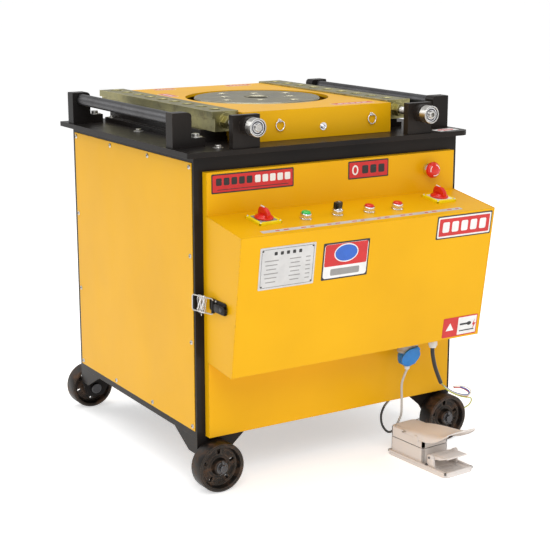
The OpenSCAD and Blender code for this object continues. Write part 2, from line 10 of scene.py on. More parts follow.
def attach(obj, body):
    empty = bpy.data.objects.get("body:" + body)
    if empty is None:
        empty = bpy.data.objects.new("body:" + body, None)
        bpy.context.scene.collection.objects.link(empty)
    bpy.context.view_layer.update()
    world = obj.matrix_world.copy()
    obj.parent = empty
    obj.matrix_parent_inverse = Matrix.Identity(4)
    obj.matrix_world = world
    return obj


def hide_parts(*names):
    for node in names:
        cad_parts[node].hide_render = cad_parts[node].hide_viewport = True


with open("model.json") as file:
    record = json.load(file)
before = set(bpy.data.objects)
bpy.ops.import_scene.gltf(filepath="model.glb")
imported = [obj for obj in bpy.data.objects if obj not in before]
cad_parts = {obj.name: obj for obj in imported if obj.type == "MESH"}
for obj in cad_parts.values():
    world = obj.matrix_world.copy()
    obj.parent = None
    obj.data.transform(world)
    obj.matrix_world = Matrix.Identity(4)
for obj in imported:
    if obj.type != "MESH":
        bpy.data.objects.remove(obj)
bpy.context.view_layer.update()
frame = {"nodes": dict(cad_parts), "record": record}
nodes = frame["nodes"]

# Places in millimetres, from the floor and from the table's centre
TABLE_Y = 56                    # the table's centre in the frame
DOOR_Y = -353                   # outer face of the door
CHEEK_X = 355.5                 # outer face of the console's cheeks
LEAN = math.radians(8.08)       # lean of the console's front
SLOPE = math.radians(8.76)      # slope of the console's top
SPINDLE = (6, 25)               # axis of the turntable
SCREW_X, SCREW_Z = 244, 851.5   # axes of the two lead screws
WHEEL_X, WHEEL_Z = 335, 60      # axles of the floor wheels
TABLE_TOP = 800
HEAD_FRONT, HEAD_TOP = -274.6, 871.8
RING_X = (-112, 153)            # ring eyes on the head's front
PLUG = (185, -400)              # axis of the foot switch's plug
GLAND = (234, -438)             # axis of the power lead's gland
UP, FRONT = (0, 0, 1), (0, -1, 0)


def P(x, y, z):
    """Millimetres about the table's centre, to metres in the frame."""
    return Vector((x, y + TABLE_Y, z)) / 1000


def shift(x, y, z):
    """Matrix of a move in millimetres."""
    return Matrix.Translation((x / 1000, y / 1000, z / 1000))


def polar(r, a, z):
    """Matrix of a move to radius r and angle a about the local Z."""
    return shift(r * math.cos(a), r * math.sin(a), z)


def turned(degrees, axis="Z"):
    return Matrix.Rotation(math.radians(degrees), 4, axis)


def around(n):
    """n angles evenly round a circle."""
    return [2 * math.pi * k / n for k in range(n)]


# ---------------------------------------------------------------- camera
TILT, HEADING = 13.26, -31.71    # degrees below level, and to the right of +Y
cam_data = bpy.data.cameras.new("camera")
cam = bpy.data.objects.new("camera", cam_data)
bpy.context.collection.objects.link(cam)
cam.location = P(-1782, -2958, 1219)
cam.rotation_euler = (math.radians(90 - TILT), 0, math.radians(HEADING))
cam_data.lens = 88.04
cam_data.sensor_width = 36
cam_data.clip_start = 0.05
bpy.context.scene.camera = cam


# ---------------------------------------------------------------- materials
class Mat:
    """A node material with helpers that keep the recipes short."""

    def __init__(self, name):
        self.m = bpy.data.materials.new(name)
        self.m.use_nodes = True
        self.t = self.m.node_tree
        self.b = self.t.nodes["Principled BSDF"]
        self.co = self.n("ShaderNodeTexCoord").outputs["Object"]

    def n(self, kind, sockets=(), **props):
        """Adds a node; sockets holds (input, constant or output) pairs."""
        node = self.t.nodes.new(kind)
        for key, value in props.items():
            setattr(node, key, value)
        for key, value in sockets:
            self.put(node.inputs[key], value)
        return node

    def put(self, socket, value):
        """Links an output to a socket, or sets the socket's own constant."""
        if isinstance(value, bpy.types.NodeSocket):
            self.t.links.new(value, socket)
        elif socket.type == "RGBA":
            socket.default_value = (*value[:3], 1)
        else:
            socket.default_value = value

    def noise(self, scale, detail=4, rough=0.55, stretch=(1, 1, 1), distort=0.0):
        mp = self.n("ShaderNodeMapping", (("Scale", stretch), ("Vector", self.co)))
        nz = self.n("ShaderNodeTexNoise", (("Scale", scale), ("Detail", detail), ("Roughness", rough),
                                           ("Distortion", distort), ("Vector", mp.outputs["Vector"])))
        return nz.outputs["Fac"]

    def ramp(self, fac, low, high):
        """0 below low, 1 above high."""
        ends = (("From Min", low), ("From Max", high), ("Value", fac))
        return self.n("ShaderNodeMapRange", ends).outputs["Result"]

    def remap(self, fac, a, b):
        ends = (("To Min", a), ("To Max", b), ("Value", fac))
        return self.n("ShaderNodeMapRange", ends).outputs["Result"]

    def mix(self, fac, a, b):
        return self.n("ShaderNodeMix", (("Factor", fac), (6, a), (7, b)), data_type="RGBA").outputs[2]

    def math(self, op, a, b):
        return self.n("ShaderNodeMath", ((0, a), (1, b)), operation=op).outputs[0]

    def edges(self, radius):
        """1 on the object's edges, 0 on its faces."""
        bv = self.n("ShaderNodeBevel", (("Radius", radius),), samples=4)
        geo = self.n("ShaderNodeNewGeometry")
        sides = ((0, bv.outputs["Normal"]), (1, geo.outputs["Normal"]))
        dot = self.n("ShaderNodeVectorMath", sides, operation="DOT_PRODUCT")
        return self.ramp(dot.outputs["Value"], 0.995, 0.90)

    def finish(self, color, rough, bump=None, strength=0.2, distance=0.0005, round_edge=0.0012,
               metallic=0.0, coat=0.0, more=()):
        for key, value in (("Base Color", color), ("Roughness", rough), ("Metallic", metallic),
                           ("Coat Weight", coat), ("Coat Roughness", 0.12), *more):
            self.put(self.b.inputs[key], value)
        normal = None
        if round_edge:
            bv = self.n("ShaderNodeBevel", (("Radius", round_edge),), samples=4)
            normal = bv.outputs["Normal"]
        if bump is not None:
            bp = self.n("ShaderNodeBump", (("Strength", strength), ("Distance", distance),
                                           ("Height", bump)))
            if normal is not None:
                self.put(bp.inputs["Normal"], normal)
            normal = bp.outputs["Normal"]
        if normal is not None:
            self.put(self.b.inputs["Normal"], normal)
        return self.m


def painted(name, color, shade, rough, wear=None, wear_amount=0.6, coat=0.3, peel=260, round_edge=0.0012,
            gloss=0.5):
    """Sprayed enamel: slow shade drift, dust specks, orange peel, chipped edges."""
    m = Mat(name)
    drift = m.ramp(m.noise(3.0, 3), 0.35, 0.7)
    col = m.mix(drift, color, shade)
    specks = m.ramp(m.noise(420, 2), 0.70, 0.78)
    col = m.mix(m.math("MULTIPLY", specks, 0.25), col, tuple(c * 0.6 for c in color))
    if wear is not None:
        chip = m.math("MULTIPLY", m.edges(0.0022), m.ramp(m.noise(90, 5, 0.7), 0.50, 0.62))
        col = m.mix(m.math("MULTIPLY", chip, wear_amount), col, wear)
    smear = m.noise(14, 5, 0.6, (1, 1, 0.35), 0.4)
    return m.finish(col, m.remap(smear, rough - 0.09, rough + 0.12), m.noise(peel, 2), 0.12, 0.0004,
                    round_edge, coat=coat, more=(("Specular IOR Level", gloss),))


def metal(name, color, dark, rough, stretch=(1, 1, 1), grain=300, depth=0.25, stain=None):
    """Machined steel: grain along the cut, darker drift, painted highlights on the edges."""
    m = Mat(name)
    fine = m.noise(grain, 3, 0.6, stretch)
    drift = m.ramp(m.noise(12, 5, 0.6), 0.35, 0.68)
    col = m.mix(drift, color, dark)
    if stain is not None:
        col = m.mix(m.math("MULTIPLY", m.ramp(m.noise(34, 6, 0.65), 0.52, 0.66), 0.65), col, stain)
    # painted highlight: every edge lightened towards a brighter copy of the steel colour
    col = m.mix(m.math("MULTIPLY", m.edges(0.0018), 0.6), col, tuple(min(1, c * 1.6 + 0.08) for c in color))
    return m.finish(col, m.remap(fine, rough - 0.1, rough + 0.16), fine, depth, 0.0003, 0.0008,
                    metallic=1.0)


def plastic(name, color, rough, fine=500, depth=0.12):
    m = Mat(name)
    drift = m.ramp(m.noise(60, 4), 0.3, 0.75)
    col = m.mix(drift, color, tuple(c * 0.78 for c in color))
    # painted highlight: every edge lightened towards a brighter copy of the plastic colour
    col = m.mix(m.math("MULTIPLY", m.edges(0.001), 0.35), col,
                tuple(min(1, c * 1.25 + 0.04) for c in color))
    return m.finish(col, m.remap(m.noise(150, 3), rough - 0.06, rough + 0.1), m.noise(fine, 2), depth,
                    0.0002, 0.0006)


YELLOW = painted("yellow_enamel", (0.82, 0.43, 0.002), (0.75, 0.385, 0.002), 0.34, (0.10, 0.07, 0.04), 0.45,
                 0.03, gloss=0.14)
BLACK = painted("black_enamel", (0.012, 0.011, 0.011), (0.028, 0.022, 0.018), 0.30, (0.12, 0.09, 0.07), 0.5,
                0.05, 180, gloss=0.1)
BRIGHT = metal("bright_steel", (0.62, 0.61, 0.58), (0.44, 0.42, 0.39), 0.30)
DARKSTEEL = metal("dark_steel", (0.10, 0.10, 0.105), (0.06, 0.058, 0.06), 0.36, (1, 30, 1), 60)
CHROME = metal("chrome", (0.82, 0.82, 0.84), (0.7, 0.7, 0.72), 0.12, depth=0.05)


def turned_disc(name):
    """Facing-cut rings about the spindle, olive zinc tint, swarf stains and painted highlights on the rims.
    """
    m = Mat(name)
    centre = P(*SPINDLE, 0)
    mp = m.n("ShaderNodeMapping", (("Location", (-centre.x, -centre.y, 0)), ("Vector", m.co)))
    wave = m.n("ShaderNodeTexWave", (("Scale", 220), ("Distortion", 1.2), ("Detail", 3),
                                     ("Vector", mp.outputs["Vector"])),
               wave_type="RINGS", rings_direction="Z")
    drift = m.ramp(m.noise(16, 6, 0.62), 0.36, 0.66)
    col = m.mix(drift, (0.36, 0.33, 0.21), (0.23, 0.215, 0.16))
    col = m.mix(m.math("MULTIPLY", m.ramp(m.noise(60, 6, 0.7), 0.55, 0.68), 0.5), col, (0.11, 0.09, 0.06))
    # painted highlight: every edge turned near-white to stand in for glints on the chamfers
    col = m.mix(m.edges(0.0022), col, (0.85, 0.83, 0.72))
    return m.finish(col, m.remap(wave.outputs["Fac"], 0.24, 0.42), wave.outputs["Fac"], 0.25, 0.0003,
                    0.001, metallic=1.0)


DISC = turned_disc("turned_disc")
ZINC = metal("yellow_zinc", (0.40, 0.36, 0.16), (0.24, 0.23, 0.13), 0.34, (3, 0.5, 3), 160, 0.3,
             stain=(0.13, 0.10, 0.05))


def rusty_iron(name):
    """Black cast iron with rust bleeding through, and a sandy cast skin."""
    m = Mat(name)
    rust = m.ramp(m.noise(26, 8, 0.68, distort=0.5), 0.50, 0.66)
    grit = m.noise(240, 4, 0.7)
    col = m.mix(rust, (0.016, 0.013, 0.011), (0.085, 0.040, 0.018))
    col = m.mix(m.math("MULTIPLY", m.edges(0.003), 0.6), col, (0.16, 0.12, 0.09))
    return m.finish(col, m.remap(rust, 0.42, 0.8), grit, 0.5, 0.0007, 0.0015,
                    metallic=m.remap(rust, 0.55, 0.1))


IRON = rusty_iron("rusty_iron")
MOTOR = painted("motor_grey", (0.10, 0.13, 0.14), (0.07, 0.09, 0.10), 0.45, (0.2, 0.2, 0.2))
RUBBER = plastic("belt_rubber", (0.018, 0.018, 0.018), 0.62, 300, 0.3)
RED = plastic("red_plastic", (0.78, 0.018, 0.008), 0.28)
GREEN = plastic("green_plastic", (0.03, 0.55, 0.10), 0.25)
BLACKPLASTIC = plastic("black_plastic", (0.015, 0.015, 0.016), 0.32)
GREYPLASTIC = plastic("grey_plastic", (0.42, 0.44, 0.44), 0.42)
WHITEPLASTIC = plastic("white_plastic", (0.75, 0.75, 0.72), 0.4)
BLUE = plastic("blue_plastic", (0.008, 0.19, 0.56), 0.34)
SWITCHYELLOW = plastic("yellow_plastic", (0.98, 0.78, 0.0), 0.34)
CAST = painted("cast_grey", (0.78, 0.72, 0.68), (0.70, 0.65, 0.61), 0.46, (0.30, 0.28, 0.25), 0.4, 0.1, 120,
               0.0022)


def cord_with_painted_shade(name):
    """Pale grey jacket with painted shade: near-black where the loop hangs in shadow under the door."""
    m = Mat(name)
    xyz = m.n("ShaderNodeSeparateXYZ", ((0, m.co),))
    # painted shade: the jacket turns near-black towards low X, where the loop lies in shadow under the door
    col = m.mix(m.ramp(xyz.outputs["X"], 0.154, 0.176), (0.02, 0.02, 0.021), (0.50, 0.48, 0.45))
    return m.finish(col, 0.45, m.noise(700, 2), 0.2, 0.0002, 0)


CORD_GREY_PAINTED_SHADE = cord_with_painted_shade("cord_grey")
CORDBLACK = plastic("cord_black", (0.02, 0.02, 0.021), 0.45, 700, 0.2)


def label(name, ground, rough=0.35, metallic=0.0):
    m = Mat(name)
    col = m.mix(m.ramp(m.noise(30, 4), 0.35, 0.7), ground, tuple(c * 0.86 for c in ground))
    scuff = m.ramp(m.noise(130, 6, 0.7, (1, 1, 4)), 0.62, 0.72)
    col = m.mix(m.math("MULTIPLY", scuff, 0.18), col, (0.8, 0.78, 0.74))
    return m.finish(col, m.remap(m.noise(90, 3), rough - 0.05, rough + 0.12), m.noise(300, 2), 0.08, 0.0001,
                    0, metallic=metallic)


LRED = label("label_red", (0.62, 0.012, 0.012))
LWHITE = label("label_white", (0.85, 0.84, 0.82))
LBLACK = label("label_black", (0.015, 0.013, 0.013))
LSILVER = label("label_silver", (0.62, 0.61, 0.60), rough=0.42, metallic=0.35)
LBLUE = label("label_blue", (0.02, 0.12, 0.55))
LGREY = label("label_grey", (0.30, 0.29, 0.28))

BY_SLOT = {
    "black_enamel": BLACK, "yellow_paint": YELLOW, "bright_steel": BRIGHT, "chrome": CHROME,
    "disc_steel": DISC, "zinc_steel": ZINC, "dark_roller": DARKSTEEL, "wheel_iron": IRON,
    "motor_grey": MOTOR, "belt_rubber": RUBBER, "red_plastic": RED, "green_plastic": GREEN,
    "black_plastic": BLACKPLASTIC, "label_sheet": LSILVER, "grey_plastic": GREYPLASTIC,
    "blue_plastic": BLUE, "cast_grey": CAST, "cord_grey": CORD_GREY_PAINTED_SHADE,
    "cord_black": CORDBLACK, "core_red": RED,
}
for part in frame["record"]["subparts"]:
    obj = nodes[part["node"]]
    for s in obj.material_slots:
        s.material = BY_SLOT[part["material_slot"]]


# ---------------------------------------------------------------- mesh helpers
def place(name, bm, mats, body, smooth=40):
    me = bpy.data.meshes.new(name)
    bmesh.ops.recalc_face_normals(bm, faces=bm.faces)
    bm.to_mesh(me)
    bm.free()
    ob = bpy.data.objects.new(name, me)
    bpy.context.collection.objects.link(ob)
    for m in mats if isinstance(mats, (list, tuple)) else [mats]:
        me.materials.append(m)
    for f in me.polygons:
        f.use_smooth = True
    me.set_sharp_from_angle(angle=math.radians(smooth))
    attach(ob, body)
    return ob


def frame_at(origin, z_axis, x_hint=(1, 0, 0)):
    z = Vector(z_axis).normalized()
    x = Vector(x_hint)
    x = (x - z * x.dot(z)).normalized()
    y = z.cross(x)
    return Matrix(((x.x, y.x, z.x, origin[0]), (x.y, y.y, z.y, origin[1]), (x.z, y.z, z.z, origin[2]),
                   (0, 0, 0, 1)))


def lathe(bm, profile, at, n=48, mat=0, close=False):
    """Turns (radius, height) millimetre pairs about the local Z of matrix at."""
    rings = []
    for r, h in profile:
        if r < 1e-6:
            rings.append([bm.verts.new(at @ Vector((0, 0, h / 1000)))])
        else:
            rings.append([bm.verts.new(at @ Vector((r / 1000 * math.cos(2 * math.pi * k / n),
                                                    r / 1000 * math.sin(2 * math.pi * k / n), h / 1000)))
                          for k in range(n)])
    pairs = list(zip(rings, rings[1:]))
    if close:
        pairs.append((rings[-1], rings[0]))
    for a, b in pairs:
        for k in range(n):
            j = (k + 1) % n
            vs = [a[k % len(a)], a[j % len(a)], b[j % len(b)], b[k % len(b)]]
            vs = [v for i, v in enumerate(vs) if v not in vs[:i]]
            if len(vs) > 2:
                bm.faces.new(vs).material_index = mat


def prism(bm, outline, depth, at, mat=0, bevel=0.0, seg=2):
    """Extrudes an (x, y) millimetre outline along the local Z of matrix at, edges rounded."""
    low = [bm.verts.new((x / 1000, y / 1000, 0)) for x, y in outline]
    top = [bm.verts.new((x / 1000, y / 1000, depth / 1000)) for x, y in outline]
    faces = [bm.faces.new(low[::-1]), bm.faces.new(top)]
    for k in range(len(low)):
        j = (k + 1) % len(low)
        faces.append(bm.faces.new((low[k], low[j], top[j], top[k])))
    for f in faces:
        f.material_index = mat
    verts = low + top
    if bevel:
        edges = list({e for f in faces for e in f.edges})
        out = bmesh.ops.bevel(bm, geom=edges, offset=bevel / 1000, segments=seg, affect="EDGES",
                              profile=0.5)
        verts = list({v for f in out["faces"] for v in f.verts} | {v for v in verts if v.is_valid})
        faces = list({f for v in verts for f in v.link_faces})
        for f in faces:
            f.material_index = mat
    for v in verts:
        v.co = at @ v.co


def ellipse(cx, cy, a, b, n=40):
    return [(cx + a * math.cos(t), cy + b * math.sin(t)) for t in around(n)]


def rounded(w, h, r, n=5):
    """Outline of a rounded rectangle centred at the origin."""
    pts = []
    for cx, cy, a0 in ((w / 2 - r, h / 2 - r, 0), (r - w / 2, h / 2 - r, 90), (r - w / 2, r - h / 2, 180),
                       (w / 2 - r, r - h / 2, 270)):
        for k in range(n + 1):
            a = math.radians(a0 + 90 * k / n)
            pts.append((cx + r * math.cos(a), cy + r * math.sin(a)))
    return pts


def tube(bm, pts, r, n=10, mat=0, closed=False):
    """A round bar in metres along points."""
    last = None
    rings = []
    m = len(pts)
    for k, p in enumerate(pts):
        a = pts[(k - 1) % m] if closed else pts[max(k - 1, 0)]
        b = pts[(k + 1) % m] if closed else pts[min(k + 1, m - 1)]
        d = (b - a).normalized()
        u = (last if last is not None else d.orthogonal())
        u = (u - d * u.dot(d)).normalized()
        last = u
        v = d.cross(u)
        rings.append([bm.verts.new(p + (u * math.cos(2 * math.pi * i / n)
                                        + v * math.sin(2 * math.pi * i / n)) * r)
                      for i in range(n)])
    for a, b in zip(rings, rings[1:] + ([rings[0]] if closed else [])):
        for i in range(n):
            j = (i + 1) % n
            bm.faces.new((a[i], a[j], b[j], b[i])).material_index = mat
    if not closed:
        for ring in (rings[0][::-1], rings[-1]):
            bm.faces.new(ring).material_index = mat


def bolt_head(bm, at, across, high, mat=0):
    """Hex head with a turned chamfer and a washer."""
    r = across / 1.732
    lathe(bm, [(0, 0), (across * 0.95, 0), (across * 0.95, 1.4), (0, 1.4)], at, 32, mat)
    prism(bm, ellipse(0, 0, r, r, 6), high - 1.4, at @ shift(0, 0, 1.4), mat, 0.8, 2)


def pan_screw(bm, at, r, mat=0):
    """Pan head with its cross recess drawn as a thin dark cross, painted shade."""
    lathe(bm, [(r, 0), (r, 0.7), (r * 0.9, 1.7), (r * 0.62, 2.6), (r * 0.3, 2.9), (r * 0.22, 1.6),
               (0, 1.4)], at, 28, mat)
    # painted shade: a thin dark cross laid on the head stands in for the shaded cross recess
    for a in (0, 90):
        prism(bm, rounded(r * 1.05, r * 0.24, r * 0.1, 2), 0.35,
              at @ turned(a + 20) @ shift(0, 0, 2.7), 1)


# ---------------------------------------------------------------- cords
def smooth_path(points, step=0.004):
    out = []
    n = len(points) - 1
    for i in range(n):
        a, b, c, d = points[max(i - 1, 0)], points[i], points[i + 1], points[min(i + 2, n)]
        count = max(4, int((c - b).length / step))
        for k in range(count):
            t = k / count
            out.append(0.5 * (2 * b + (c - a) * t + (2 * a - 5 * b + 4 * c - d) * t * t
                              + (3 * b - a - 3 * c + d) * t ** 3))
    out.append(points[-1])
    return out


def cord_curve(name, route, r, mat):
    pts = smooth_path([P(*p) for p in route])
    cu = bpy.data.curves.new(name, "CURVE")
    cu.dimensions = "3D"
    sp = cu.splines.new("POLY")
    sp.points.add(len(pts) - 1)
    for q, p in zip(sp.points, pts):
        q.co = (*p, 1)
    cu.bevel_depth = r
    cu.bevel_resolution = 6
    cu.use_fill_caps = True
    cu.materials.append(mat)
    ob = bpy.data.objects.new(name, cu)
    bpy.context.collection.objects.link(ob)
    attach(ob, "door_body")
    length = sum((b - a).length for a, b in zip(pts, pts[1:]))
    return ob, pts, length


PEDAL_ROUTE = [
    (185, -400, 221), (180.5, -395, 203), (177.5, -390, 181), (177, -392, 144), (175.4, -394, 107.5),
    (173.5, -388, 88), (169, -383, 72), (164, -377, 58), (157, -370, 52), (149.6, -363, 56.8),
    (142.4, -357, 72.9), (143.5, -352, 94.5), (158, -345, 113), (184, -328, 118), (214, -300, 118),
    (250, -264, 112), (300, -225, 105), (350, -192, 99), (400, -176, 72), (438, -172, 28), (446, -188, 5),
    (420, -212, 3.5), (368, -222, 3.5), (305, -250, 3.5), (250, -298, 6), (212, -346, 17),
    (191.5, -368, 21)]
SHEATH_ROUTE = [(234, -438, 280), (235, -438, 262), (243, -437, 232), (256, -434, 204), (270, -430, 180)]
CORES = [
    ("core_red", (0.62, 0.02, 0.02), [
        (270, -425.2, 180), (288, -424, 163), (313.5, -422, 145.4), (341.4, -421, 131), (363, -421, 125.8),
        (372, -421, 131), (363, -421, 141), (343, -421, 152), (320, -421, 156.5)]),
    ("core_blue", (0.05, 0.12, 0.45), [
        (270, -428.4, 180), (283.5, -428.8, 165.5), (307.5, -429, 148.5), (334.5, -429, 136),
        (357, -429, 130.5), (365, -429, 135.5), (355, -429, 145.5), (334, -429, 155.5)]),
    ("core_white", (0.78, 0.76, 0.70), [
        (270, -431.6, 180), (281, -433, 166.5), (302, -435, 151), (329, -436, 138.5), (352, -436, 132.5),
        (364, -436, 139), (356, -436, 151), (332, -436, 161), (306, -436, 164.5)]),
    ("core_earth", (0.45, 0.48, 0.05), [
        (270, -434.8, 180), (279, -438, 168), (297, -441, 155), (323, -443, 141.5), (345, -443, 134.5),
        (358, -443, 131), (360, -443, 122), (352, -443, 113), (338, -443, 108)])]

pedal_cord, pedal_pts, pedal_len = cord_curve("pedal_cord_line", PEDAL_ROUTE, 0.003, CORD_GREY_PAINTED_SHADE)
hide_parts("pedal_cord")
sheath, sheath_pts, sheath_len = cord_curve("power_sheath_line", SHEATH_ROUTE, 0.005, CORDBLACK)
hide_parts("power_sheath")
LIFT = {"core_blue": 2.6, "core_white": 1.3, "core_red": -0.2, "core_earth": -2.4}
for nm, col, route in CORES:
    route = route[:1] + [(x, y, z + LIFT[nm]) for x, y, z in route[1:]]
    ob, pts, length = cord_curve(nm, route, 0.0015, plastic(nm + "_skin", col, 0.4))
    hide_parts("power_cores")


# ---------------------------------------------------------------- head, screws, bearings
def wheel_piece(name, body, x, y, face):
    """Cast wheel: a web with five rimmed windows, a rolled tread and a long hub."""
    bm = bmesh.new()
    at = frame_at(P(x, y, WHEEL_Z), (0, face, 0))
    tread = [(49, 3), (51, 0.8), (55, 0), (58.5, 1.6), (59.8, 5), (59.8, 41), (58.5, 44.4), (55, 46),
             (51, 45.2), (49, 43), (48, 36), (46, 31.5), (42.5, 30)]
    lathe(bm, tread + [(42.5, 16), (46, 14), (48, 9)], at, 96, close=True)
    hub = [(9.06, -2), (16, -2), (18, 0), (18.6, 12), (21, 17), (29.6, 17.6), (29.6, 28.8), (22, 29.4),
           (19.4, 33), (18, 42), (16, 44), (9.06, 44)]
    lathe(bm, hub, at, 64, close=True)
    # web between hub and tread, split by five round windows
    n_ring = 60
    for h in (17.8, 28.4):
        for k in range(n_ring):
            a0, a1 = (2 * math.pi * (k + i) / n_ring for i in (0, 1))
            inner = [at @ Vector((0.0292 * math.cos(a), 0.0292 * math.sin(a), h / 1000)) for a in (a0, a1)]
            outer = [at @ Vector((0.043 * math.cos(a), 0.043 * math.sin(a), h / 1000)) for a in (a1, a0)]
            mid = math.degrees((a0 + a1) / 2)
            hole = min(abs((mid - 18 - 72 * j + 180) % 360 - 180) for j in range(5))
            if hole < 8.5:
                continue
            vs = [bm.verts.new(p) for p in inner + outer]
            bm.faces.new(vs)
    for j in range(5):
        a = math.radians(18 + 72 * j)
        c = at @ polar(36, a, 17.5)
        ring = [(6.2, 0), (7.4, 0), (7.4, 11.2), (6.2, 11.2)]
        lathe(bm, ring, c, 28, close=True)
    ob = place(name + "_cast", bm, IRON, body, 35)
    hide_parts(name)


for nm, x, y, face in (("front_left_wheel", -WHEEL_X, -337, -1), ("front_right_wheel", WHEEL_X, -337, -1),
                       ("rear_left_wheel", -WHEEL_X, 346, 1), ("rear_right_wheel", WHEEL_X, 346, 1)):
    wheel_piece(nm, nm + "_body", x, y, face)

bm = bmesh.new()
for sx in (-1, 1):
    for y0, face in ((-329, -1), (329, 1)):
        at = frame_at(P(WHEEL_X * sx, y0, WHEEL_Z), (0, face, 0))
        tip = 62 if face < 0 else 69
        lathe(bm, [(0, -8), (12.5, -8), (14, -6.5), (14, 0), (9, 0), (9, tip - 1.5), (7.6, tip), (0, tip)],
              at, 40)
        washer = 51.5 if face < 0 else 60.5
        lathe(bm, [(9, washer), (14.4, washer), (15, washer + 0.6), (15, washer + 2.8),
                   (14.4, washer + 3.4), (9, washer + 3.4)], at, 40, 0, True)
        if face > 0:
            lathe(bm, [(9, 4.2), (15, 4.2), (15, 14.4), (9, 14.4)], at, 40, 1, True)
        # bent split pin through the axle
        pin = washer + 5.6
        base = at @ Vector((0, 0, pin / 1000))
        for s in (-1, 1):
            pts = [base + Vector((s * 0.0008, 0, 0.016)), base + Vector((s * 0.0008, 0, 0)),
                   base + Vector((s * 0.0008, 0, -0.011)), base + Vector((s * 0.004, 0, -0.0138)),
                   base + Vector((s * 0.009, 0, -0.0148))]
            tube(bm, pts, 0.0009, 8, 0)
        loop = [base + Vector((0.0022 * math.cos(a), 0, 0.0165 + 0.0026 * math.sin(a)))
                for a in [math.radians(-60 + 30 * k) for k in range(11)]]
        tube(bm, loop, 0.0009, 8, 0)
axles = place("axle_set", bm, [DARKSTEEL, BLACK], "base")
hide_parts("axles")

bm = bmesh.new()
z0, z1 = 150.5, 763.4
for i in range(4):
    for k in range(4):
        if i in (0, 3) or k in (0, 3):
            z = z0 + (z1 - z0) * k / 3
            y = -315 + 625 * i / 3
            for sx in (-1, 1):
                pan_screw(bm, frame_at(P(375.5 * sx, y, z), (sx, 0, 0), (0, 1, 0)), 5.5)
            x = -351 + 702 * i / 3
            pan_screw(bm, frame_at(P(x, 334.5, z), (0, 1, 0)), 5.5)
screws = place("panel_screw_set", bm, [BRIGHT, LBLACK], "base")
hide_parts("panel_screws")

bm = bmesh.new()
for sx in (-1, 1):
    for y in (-257, 299):
        bolt_head(bm, frame_at(P(327 * sx, y, TABLE_TOP + 21), UP, (1, 0.3, 0)), 17, 8.5)
    bolt_head(bm, frame_at(P(296 * sx, -307, TABLE_TOP), UP, (1, 0.6, 0)), 13, 6.5)
    bolt_head(bm, frame_at(P(318 * sx, 56, TABLE_TOP), UP, (1, 0.1, 0)), 13, 6.5)
    for y in (-180, 268):
        bolt_head(bm, frame_at(P(292.4 * sx, y, TABLE_TOP + 12), UP), 9, 5)
bolts = place("plate_bolt_set", bm, BRIGHT, "base", 30)
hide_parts("plate_bolts")


def screw_piece(name, body, x, recess):
    """Lead screw with a cut thread behind the bearing and a turned bright end."""
    bm = bmesh.new()
    at = frame_at(P(x, -402, SCREW_Z), (0, 1, 0))
    end = [(0, 9), (4.6, 9), (5.2, 0)] if recess else [(0, 1.2), (3.2, 1.2), (4.0, 0)]
    lathe(bm, end + [(7.8, 0), (9, 1.4), (9, 73), (15, 73), (15, 77), (9, 77), (9, 80), (7.7, 81)], at, 48)
    pitch, turns, n = 4.0, 19, 24
    rows = []
    for k in range(turns * n + 1):
        a = 2 * math.pi * k / n
        h = 81 + pitch * k / n
        rows.append([bm.verts.new(at @ Vector((r / 1000 * math.cos(a), r / 1000 * math.sin(a),
                                               (h + dh) / 1000)))
                     for r, dh in ((7.6, -1.6), (9.0, 0), (7.6, 1.6), (7.5, 2.4))])
    for a, b in zip(rows, rows[1:]):
        for i in range(3):
            bm.faces.new((a[i], a[i + 1], b[i + 1], b[i]))
    lathe(bm, [(7.55, 80), (7.55, 159.4), (0, 159.4)], at, 32)
    ob = place(name + "_cut", bm, BRIGHT, body, 30)
    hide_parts(name)


screw_piece("left_lead_screw", "left_screw_body", -SCREW_X, False)
screw_piece("right_lead_screw", "right_screw_body", SCREW_X, True)

bm = bmesh.new()
for sx in (-1, 1):
    for y in (-396, -354):
        at = frame_at(P(SCREW_X * sx, y, SCREW_Z), FRONT)
        lathe(bm, [(9.08, -9.6), (11.2, -9.6), (11.6, -9.2), (11.6, -0.6), (11.2, 0), (9.5, 0),
                   (9.08, -0.5)], at, 48, 0, True)
        lathe(bm, [(14.6, -9.6), (17.4, -9.6), (17.4, -0.5), (17, 0), (15, 0), (14.6, -0.5)], at, 48, 0,
              True)
        for h in (-2.0, -8.5):
            lathe(bm, [(11.6, h), (14.6, h)], at, 48, 1)
        for a in around(9):
            c = at @ Vector((0.0131 * math.cos(a), 0.0131 * math.sin(a), -0.0048))
            bmesh.ops.create_uvsphere(bm, u_segments=14, v_segments=8, radius=0.0022,
                                      matrix=Matrix.Translation(c))
bearings = place("ball_bearing_set", bm, [CHROME, DARKSTEEL], "base", 40)
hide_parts("screw_bearings")

# bright sleeves pressed over the mouths of the black screw housings
bm = bmesh.new()
for sx in (-1, 1):
    at = frame_at(P(SCREW_X * sx, -398, SCREW_Z), FRONT)
    lathe(bm, [(17.6, -0.6), (18.4, 0.5), (20.4, 0.5), (21.3, -0.4), (21.35, -22), (21.05, -22),
               (21.05, -0.9)], at, 64, 0, True)
    lathe(bm, [(21.05, -24), (21.9, -24), (22.2, -25), (22.2, -30), (21.9, -31), (21.05, -31)], at, 64, 1,
          True)
place("housing_sleeves", bm, [BRIGHT, BLACK], "base")


# ---------------------------------------------------------------- wire rings and head screw
def ring_piece(name, body, x):
    bm = bmesh.new()
    centre = P(x, -279, 835.4)
    pts = []
    for k in range(40):
        a = math.radians(97 + 346 * k / 39)
        r = 0.0116 + 0.0004 * math.sin(3 * a)
        pts.append(centre + Vector((r * math.cos(a), 0.0002 * k / 39, r * math.sin(a))))
    tube(bm, pts, 0.0014, 10)
    ob = place(name + "_wire", bm, CHROME, body)
    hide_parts(name)


ring_piece("left_pull_ring", "left_ring_body", RING_X[0])
ring_piece("right_pull_ring", "right_ring_body", RING_X[1])

